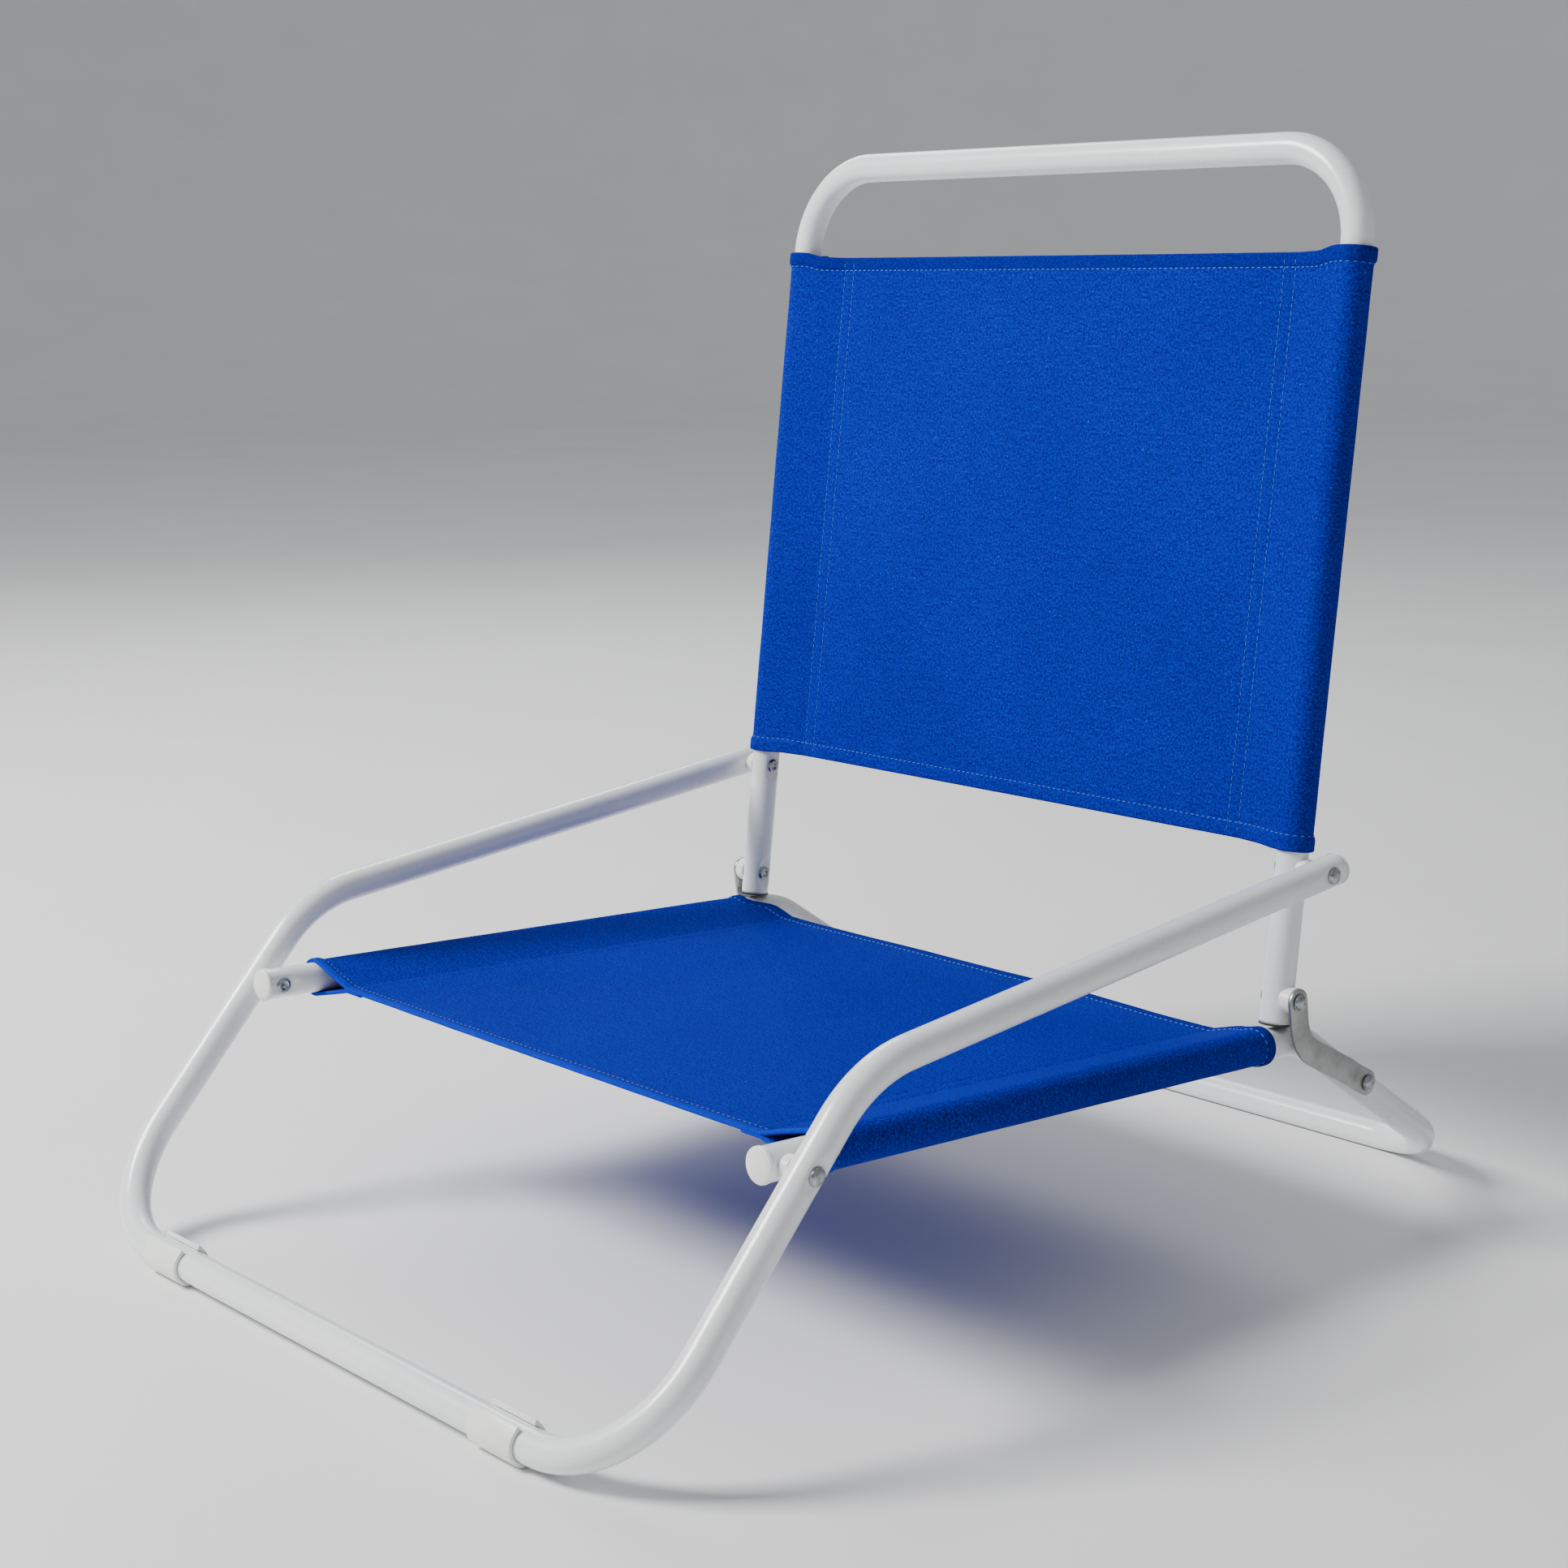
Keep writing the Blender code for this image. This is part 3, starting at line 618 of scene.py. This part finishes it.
def link_plate(side):
    """One face of a link: round top end, bend, step inwards, round leg end."""
    outward = Vector((side, 0, 0))
    top = at(side * LINK_X_BACK, BACK_LINK)
    corner = at(side * LINK_X_BACK, LINK_CORNER)
    low = at(side * LINK_X_BACK, LEG_LINK)
    down, back = (corner - top).normalized(), (low - corner).normalized()
    turn = down.angle(back)
    axis = down.cross(back).normalized()
    reach = LINK_BEND * math.tan(0.5 * turn)
    half = 0.5 * LINK_W

    bm = bmesh.new()
    ends = [bm.verts.new(top), bm.verts.new(top + axis.cross(down) * half)]
    round_end(bm, [bm.edges.new(ends)], top, axis)
    bmesh.ops.remove_doubles(bm, verts=bm.verts, dist=1e-6)

    bend_start, bend_end = corner - down * reach, corner + back * reach
    edges = straight(bm, edges_across(bm, top, down), bend_start - top)
    spun = bmesh.ops.spin(bm, geom=edges, cent=bend_start + axis.cross(down) * LINK_BEND,
                          axis=axis, angle=turn, steps=12, use_duplicate=False)
    step_start = low - back * LINK_STEP_TOP
    edges = straight(bm, new_edges(spun["geom_last"]), step_start - bend_end)
    drop = LINK_X_BACK - LINK_X_LEG
    length = LINK_STEP_TOP - LINK_STEP_LOW
    for i in range(LINK_STEPS):
        fall = smooth_step(i + 1, 0, LINK_STEPS) - smooth_step(i, 0, LINK_STEPS)
        edges = straight(bm, edges, back * length / LINK_STEPS - outward * drop * fall)
    edges = straight(bm, edges, back * LINK_STEP_LOW)
    low -= outward * drop
    inner = low - axis.cross(back) * 0.5 * half
    edges = [e for e in edges
             if (sum((v.co for v in e.verts), Vector()) / 2.0 - inner).length < 1e-4]
    round_end(bm, edges, low, axis)
    bmesh.ops.remove_doubles(bm, verts=bm.verts, dist=1e-6)
    return bm


def make_links():
    for side, tag in SIDES:
        bm = link_plate(side)
        thicken(bm, (side * LINK_T, 0, 0))
        bevel_sharp(bm, 60.0, 0.0004, 2)
        finish_piece(f"fold_link_{tag}", bm, LINK_STEEL, "links",
                     (f"back_link_{tag}",), 35.0)


def thicken(bm, offset):
    """Give an open face its thickness."""
    grown = bmesh.ops.extrude_face_region(bm, geom=list(bm.faces))["geom"]
    verts = [g for g in grown if isinstance(g, bmesh.types.BMVert)]
    bmesh.ops.translate(bm, verts=verts, vec=offset)
    bmesh.ops.recalc_face_normals(bm, faces=bm.faces)


def bevel_sharp(bm, angle, width, segments):
    """Round every edge whose faces meet at more than the given angle."""
    rim = [e for e in bm.edges if len(e.link_faces) == 2
           and e.calc_face_angle(0.0) > math.radians(angle)]
    bmesh.ops.bevel(bm, geom=rim, offset=width, segments=segments, profile=0.5,
                    affect='EDGES', material=-1, clamp_overlap=True)


# ------------------------------------------------------------ floor glides
def make_glides():
    """Snap-on glides: an open ring with rounded lips that clips over the front bar."""
    first = 0.5 * math.pi + 0.5 * GLIDE_SLOT
    sweep = 2.0 * math.pi - GLIDE_SLOT
    for side, tag in SIDES:
        end = at(side * GLIDE_X - 0.5 * GLIDE_LENGTH, FRONT_BAR)
        spoke = Vector((0, math.cos(first), math.sin(first)))
        bm = bmesh.new()
        ends = [bm.verts.new(end + spoke * GLIDE_INNER), bm.verts.new(end + spoke * GLIDE_OUTER)]
        bmesh.ops.spin(bm, geom=[bm.edges.new(ends)], cent=end, axis=(1, 0, 0), angle=sweep,
                       steps=GLIDE_STEPS, use_duplicate=False)
        for vert in bm.verts:
            arm = vert.co - end
            if arm.length < GLIDE_INNER + 1e-4:
                continue
            around = (math.atan2(arm.z, arm.y) - first) % (2.0 * math.pi)
            near = min(around, abs(sweep - around)) * GLIDE_STEPS / sweep
            far = GLIDE_OUTER + GLIDE_LIP * (1.0 - smooth_step(near, 0.0, 3.0))
            vert.co = end + arm.normalized() * far
        thicken(bm, (GLIDE_LENGTH, 0, 0))
        bevel_sharp(bm, 50.0, 0.0006, 3)
        finish_piece(f"floor_glide_{tag}", bm, WHITE_PLASTIC, "arms",
                     (f"foot_clip_{tag}",), 35.0)


# ============================================================ sling cloth
def sleeve_track():
    """Half of the cloth's cross-section as (distance, x, n), from the middle outwards."""
    away = RAIL_X - SEAM_TIP
    tilt = math.atan2(LAYER, away)
    reach = math.hypot(away, LAYER)
    tangent = math.acos(SLEEVE_R / reach) + tilt
    spots = [(0.0, LAYER), (SEAM_TIP, LAYER)]
    steps = 48
    for i in range(steps + 1):
        turn = tangent + 2.0 * (math.pi - tangent) * i / steps
        spots.append((RAIL_X - SLEEVE_R * math.cos(turn), SLEEVE_R * math.sin(turn)))
    spots += [(SEAM_TIP, -LAYER), (ALLOWANCE_END, -LAYER)]
    track, far = [(0.0, *spots[0])], 0.0
    for one, two in zip(spots, spots[1:]):
        far += math.dist(one, two)
        track.append((far, *two))
    return track


TRACK = sleeve_track()
HALF_CUT = TRACK[-1][0]


def on_track(s):
    """Point and outward normal of the cross-section at distance s from the middle."""
    side = -1.0 if s < 0.0 else 1.0
    s = min(abs(s), HALF_CUT)
    for one, two in zip(TRACK, TRACK[1:]):
        if s <= two[0]:
            break
    part = (s - one[0]) / (two[0] - one[0])
    x = one[1] + (two[1] - one[1]) * part
    n = one[2] + (two[2] - one[2]) * part
    dx, dn = two[1] - one[1], two[2] - one[2]
    size = math.hypot(dx, dn)
    return side * x, n, side * -dn / size, dx / size


def columns():
    """Distances across the cloth where it has a line of points, close at seams."""
    half = [COLUMN_PITCH * i for i in range(PANEL_COLUMNS)]
    half += [SEAM_INNER - 0.0030, SEAM_INNER - 0.0014, SEAM_INNER, SEAM_INNER + 0.0014,
             SEAM_INNER + 0.0045, SEAM_OUTER - 0.0014, SEAM_OUTER, SEAM_OUTER + 0.0012,
             SEAM_OUTER + 0.0030]
    start = SEAM_OUTER + 0.0060
    tube_in = TRACK[2][0]
    tube_out = TRACK[-3][0]
    half += [start + (tube_in - start) * i / 8.0 for i in range(8)]
    half += [tube_in + (tube_out - tube_in) * i / 26.0 for i in range(26)]
    half += [tube_out + (HALF_CUT - tube_out) * i / 14.0 for i in range(15)]
    return [-s for s in reversed(half[1:])] + half


class Sling:
    """One sling: where it lies, how long it is, and how its hems stand proud."""

    def __init__(self, start, end, hem_start, hem_end, sag, lips, proud, seed, skew):
        self.start = start
        self.way = (end - start).normalized()
        self.up = Vector((1, 0, 0)).cross(self.way).normalized()
        self.length = (end - start).length
        self.hem = (hem_start, hem_end)
        self.sag = sag
        self.lips = lips
        self.proud = proud
        self.seed = seed
        self.skew = skew

    def rows(self):
        """Distances along the cut, past both edges where the hems turn under."""
        first, last = self.hem
        bend = TURN_UP * math.pi
        marks = [-first - bend + 0.0005, -0.75 * first - bend, -0.4 * first - bend]
        marks += [-bend * (1.0 - i / 6.0) for i in range(6)]
        marks += [0.0, 0.0012, 0.0030, 0.5 * first, first - 0.0028, first - 0.0013, first,
                  first + 0.0013, first + 0.0028, first + 0.0055]
        inner = first + 0.0095
        outer = self.length - last - 0.0095
        marks += [inner + (outer - inner) * i / ROW_COUNT for i in range(ROW_COUNT + 1)]
        tail = self.length
        marks += [tail - last - 0.0055, tail - last - 0.0028, tail - last - 0.0013,
                  tail - last, tail - last + 0.0013, tail - last + 0.0028,
                  tail - 0.5 * last, tail - 0.0030, tail - 0.0012, tail]
        marks += [tail + bend * i / 6.0 for i in range(1, 7)]
        marks += [tail + bend + 0.4 * last, tail + bend + 0.75 * last,
                  tail + bend + last - 0.0005]
        return marks

    def offset(self, s, t):
        """How far the top layer stands out from the plain cross-section at (s, t)."""
        x = on_track(s)[0]
        ahead, behind = t, self.length - t
        sleeve = smooth_step(abs(s), SEAM_OUTER - 0.012, SEAM_OUTER + 0.020)
        height = 0.0
        for gap, hem, proud in ((ahead, self.hem[0], self.proud[0]),
                                (behind, self.hem[1], self.proud[1])):
            puff = 1.0 - smooth_step(gap, hem - 0.0022, hem + 0.0012)
            full = HEM_STEP + (proud - HEM_STEP) * sleeve
            height += puff * full
            height -= HEM_DIP * math.exp(-((gap - hem) / 0.0009) ** 2)
            pucker = math.exp(-((gap - hem) / 0.0040) ** 2)
            height += PUCKER * pucker * math.cos(2.0 * math.pi * s / STITCH_PITCH)
        for line in (SEAM_INNER, SEAM_OUTER):
            gap = abs(s) - line
            height -= SEAM_DIP * math.exp(-(gap / 0.0009) ** 2)
            pucker = math.exp(-(gap / 0.0035) ** 2)
            height += PUCKER * pucker * math.cos(2.0 * math.pi * t / STITCH_PITCH)
        flat = 1.0 - smooth_step(abs(s), SEAM_INNER - 0.02, SEAM_TIP)
        ripple = noise.noise(Vector((x * 9.0, t * 26.0, self.seed)))
        ripple += 0.5 * noise.noise(Vector((x * 30.0, t * 55.0, self.seed + 7.0)))
        height += RIPPLE * ripple * (0.35 + 0.65 * flat)
        middle = math.sin(math.pi * min(1.0, max(0.0, t / self.length)))
        bow = (1.0 - (x / SEAM_TIP) ** 2) if abs(s) < SEAM_TIP else 0.0
        height -= self.sag * bow * (0.55 + 0.45 * middle)
        return height

    def ends(self, s):
        """How far the cloth reaches past its nominal ends: the sleeves stand proud."""
        sleeve = smooth_step(abs(s), SEAM_TIP + 0.018, SEAM_TIP + 0.036)
        sleeve *= 1.0 - smooth_step(abs(s), HALF_CUT - 0.052, HALF_CUT - 0.034)
        left, middle, right = self.skew
        edge = left if s < 0.0 else right
        edge = middle + (edge - middle) * smooth_step(abs(s), 0.05, SEAM_TIP)
        return self.lips[0] * sleeve, edge + (self.lips[1] - edge) * sleeve

    def point(self, s, t):
        x, n, nx, nn = on_track(s)
        first, last = self.ends(s)
        inside = min(self.length, max(0.0, t))
        height = self.offset(s, inside)
        along_it = inside
        along_it -= first * (1.0 - smooth_step(inside, 0.0, 0.030))
        along_it += last * smooth_step(inside, self.length - 0.030, self.length)
        over = -t if t < 0.0 else t - self.length
        way = -1.0 if t < 0.0 else 1.0
        if over > 0.0:
            bend = TURN_UP * math.pi
            angle = min(over, bend) / TURN_UP
            along_it += way * TURN_UP * math.sin(angle)
            height -= TURN_UP * (1.0 - math.cos(angle))
            along_it -= way * max(0.0, over - bend)
        return (self.start + Vector((x + nx * height, 0, 0)) + self.way * along_it
                + self.up * (n + nn * height))

    def build(self, name, material, body, node):
        across, down = columns(), self.rows()
        nx, ny = len(across) - 1, len(down) - 1
        bm = bmesh.new()
        bmesh.ops.create_grid(bm, x_segments=nx, y_segments=ny, size=1.0)
        uv = bm.loops.layers.uv.new("cut")
        spots = {}
        for vert in bm.verts:
            i = round((vert.co.x + 1.0) * 0.5 * nx)
            j = round((vert.co.y + 1.0) * 0.5 * ny)
            spots[vert] = (across[i], down[j])
        for face in bm.faces:
            for loop in face.loops:
                loop[uv].uv = spots[loop.vert]
        for vert, (s, t) in spots.items():
            vert.co = self.point(s, t)
        piece = finish_piece(name, bm, material, body, (node,), 60.0)
        skin = piece.modifiers.new("Cloth", 'SOLIDIFY')
        skin.thickness = CLOTH_T
        skin.offset = 0.0
        self.flat = (across[-1] - across[0], down[-1] - down[0])
        return piece

    def stitches(self, name, material, body, hems, seams):
        """Raised thread along the given hems and the seams, seen on both faces."""
        bm = bmesh.new()
        single = bpy.data.meshes.new("stitch")
        far = TRACK[-3][0] - 0.004
        lines = []
        for t in hems:
            count = int(2.0 * far / STITCH_PITCH)
            lines += [((i + 0.5) * STITCH_PITCH - 0.5 * count * STITCH_PITCH, t, True)
                      for i in range(count)]
        if seams:
            count = int((self.length - 0.004) / STITCH_PITCH)
            for s in (-SEAM_OUTER, -SEAM_INNER, SEAM_INNER, SEAM_OUTER):
                lines += [(s, (i + 0.5) * STITCH_PITCH + 0.002, False)
                          for i in range(count)]
        for number, (s, t, cross) in enumerate(lines):
            step = 0.0006
            here = self.point(s, t)
            if cross:
                run = self.point(s + step, t) - self.point(s - step, t)
                other = self.point(s, t + step) - self.point(s, t - step)
                normal = run.cross(other).normalized()
            else:
                run = self.point(s, t + step) - self.point(s, t - step)
                other = self.point(s + step, t) - self.point(s - step, t)
                normal = other.cross(run).normalized()
            wobble = noise.noise(Vector((number * 0.37, t * 40.0, self.seed)))
            size = STITCH_LENGTH * (1.0 + 0.12 * wobble)
            turn = look_along(run)
            for face in ((1.0, -1.0) if not cross or abs(s) < SEAM_INNER else (1.0,)):
                depth = 0.5 * CLOTH_T + STITCH_PROUD
                if face < 0.0:
                    depth += 2.0 * TURN_UP if cross else 2.0 * LAYER
                place = Matrix.Translation(here + normal * depth * face)
                shape = Matrix.Diagonal((STITCH_R, STITCH_R, 0.5 * size, 1.0))
                one = bmesh.new()
                bmesh.ops.create_uvsphere(one, u_segments=8, v_segments=5, radius=1.0,
                                          matrix=place @ turn @ shape)
                one.to_mesh(single)
                one.free()
                bm.from_mesh(single)
        bpy.data.meshes.remove(single)
        bmesh.ops.recalc_face_normals(bm, faces=bm.faces)
        return finish_piece(name, bm, material, body, (), 80.0)


def on_line(p, q, value, index):
    part = (value - p[index]) / (q[index] - p[index])
    return (p[0] + part * (q[0] - p[0]), p[1] + part * (q[1] - p[1]))


def make_slings():
    seat = Sling(at(0.0, on_line(RAIL_FRONT, RAIL_REAR, 0.0740, 0)),
                 at(0.0, on_line(RAIL_FRONT, RAIL_REAR, 0.4599, 0)),
                 hem_start=0.0065, hem_end=0.0080, sag=0.0012, lips=(-0.0015, -0.0100),
                 proud=(0.0014, 0.0012), seed=3.0, skew=(0.0045, 0.0065, -0.0020))
    cloth = seat.build("seat_sling", SEAT_CLOTH, "seat", "seat_fabric")
    # the front hem's stitches use the thread darkened with painted shade
    sewn = [seat.stitches("seat_front_stitching", SHADED_HEM_THREAD, "seat",
                          [seat.hem[0]], False),
            seat.stitches("seat_rear_stitching", THREAD, "seat",
                          [seat.length - seat.hem[1]], False)]
    back = Sling(at(0.0, on_line(UPRIGHT_FOOT, HANDLE, 0.2530, 1)),
                 at(0.0, on_line(UPRIGHT_FOOT, HANDLE, 0.6146, 1)),
                 hem_start=0.0085, hem_end=0.0080, sag=0.0020, lips=(0.0010, 0.0030),
                 proud=(0.0014, 0.0017), seed=11.0, skew=(0.0, 0.0, 0.0))
    cloth = back.build("back_sling", BACK_CLOTH, "back", "back_fabric")
    sewn = back.stitches("back_stitching", THREAD, "back",
                         [back.hem[0], back.length - back.hem[1]], True)


# ============================================================ floor, light and view
def make_stage():
    """Wide pale floor that curves up into a plain wall far away all round."""
    flat, bend, wall = 9.0, 5.0, 9.0
    steps = 16
    profile = [(0.0, 0.0), (3.0, 0.0), (6.0, 0.0), (flat, 0.0)]
    profile += [(flat + bend * math.sin(0.5 * math.pi * i / steps),
                 bend * (1.0 - math.cos(0.5 * math.pi * i / steps)))
                for i in range(1, steps + 1)]
    profile.append((flat + bend, wall))
    bm = bmesh.new()
    verts = [bm.verts.new((r, 0.0, h)) for r, h in profile]
    edges = [bm.edges.new(pair) for pair in zip(verts, verts[1:])]
    bmesh.ops.spin(bm, geom=verts + edges, cent=(0, 0, 0), axis=(0, 0, 1),
                   angle=2.0 * math.pi, steps=96, use_merge=True, use_duplicate=False)
    bmesh.ops.remove_doubles(bm, verts=bm.verts, dist=1e-5)
    bmesh.ops.recalc_face_normals(bm, faces=bm.faces)
    bm.faces.ensure_lookup_table()
    if sum(f.normal.z for f in bm.faces) < 0.0:
        bmesh.ops.reverse_faces(bm, faces=bm.faces)
    mesh = bpy.data.meshes.new("studio_floor")
    bm.to_mesh(mesh)
    bm.free()
    mesh.shade_smooth()
    fin = Finish("pale_floor", (0.86, 0.86, 0.86), 0.7)
    cloud = fin.noise(fin.coords(), 3.0, 2.0)
    fin.colour(fin.ramp(cloud, [(0.3, (0.85, 0.85, 0.85)), (0.7, (0.88, 0.88, 0.88))]))
    mesh.materials.append(fin.mat)
    floor = bpy.data.objects.new("studio_floor", mesh)
    bpy.context.scene.collection.objects.link(floor)


def make_light(name, place, aim, size, power, colour):
    data = bpy.data.lights.new(name, 'AREA')
    data.shape = 'RECTANGLE'
    data.size, data.size_y = size
    data.energy = power
    data.color = colour
    light = bpy.data.objects.new(name, data)
    light.location = place
    light.rotation_euler = (Vector(aim) - Vector(place)).to_track_quat('-Z', 'Y').to_euler()
    bpy.context.scene.collection.objects.link(light)


def make_view():
    world = bpy.data.worlds.new("soft_studio")
    world.use_nodes = True
    world.node_tree.nodes["Background"].inputs["Color"].default_value = (0.93, 0.96, 1.0, 1)
    world.node_tree.nodes["Background"].inputs["Strength"].default_value = 0.42
    bpy.context.scene.world = world
    make_light("key", place=(-1.7, -2.3, 2.7), aim=(0.0, 0.0, 0.25), size=(1.3, 1.3),
               power=225.0, colour=(1, 0.99, 0.97))
    make_light("rim", place=(-2.4, 1.3, 2.2), aim=(0.0, 0.1, 0.3), size=(1.2, 1.6),
               power=30.0, colour=(0.97, 0.99, 1))

    data = bpy.data.cameras.new("view")
    data.sensor_width = SENSOR_WIDTH
    data.lens = LENS
    camera = bpy.data.objects.new("view", data)
    yaw, pitch, roll = (math.radians(angle) for angle in CAMERA_TURN)
    turn = (Matrix.Rotation(yaw, 4, 'Z') @ Matrix.Rotation(0.5 * math.pi + pitch, 4, 'X')
            @ Matrix.Rotation(roll, 4, 'Z'))
    camera.matrix_world = Matrix.Translation(at(CAMERA_X, CAMERA_YZ)) @ turn
    bpy.context.scene.collection.objects.link(camera)
    bpy.context.scene.camera = camera


make_tubes()
make_small_pieces()
make_links()
make_glides()
make_slings()
make_stage()
make_view()
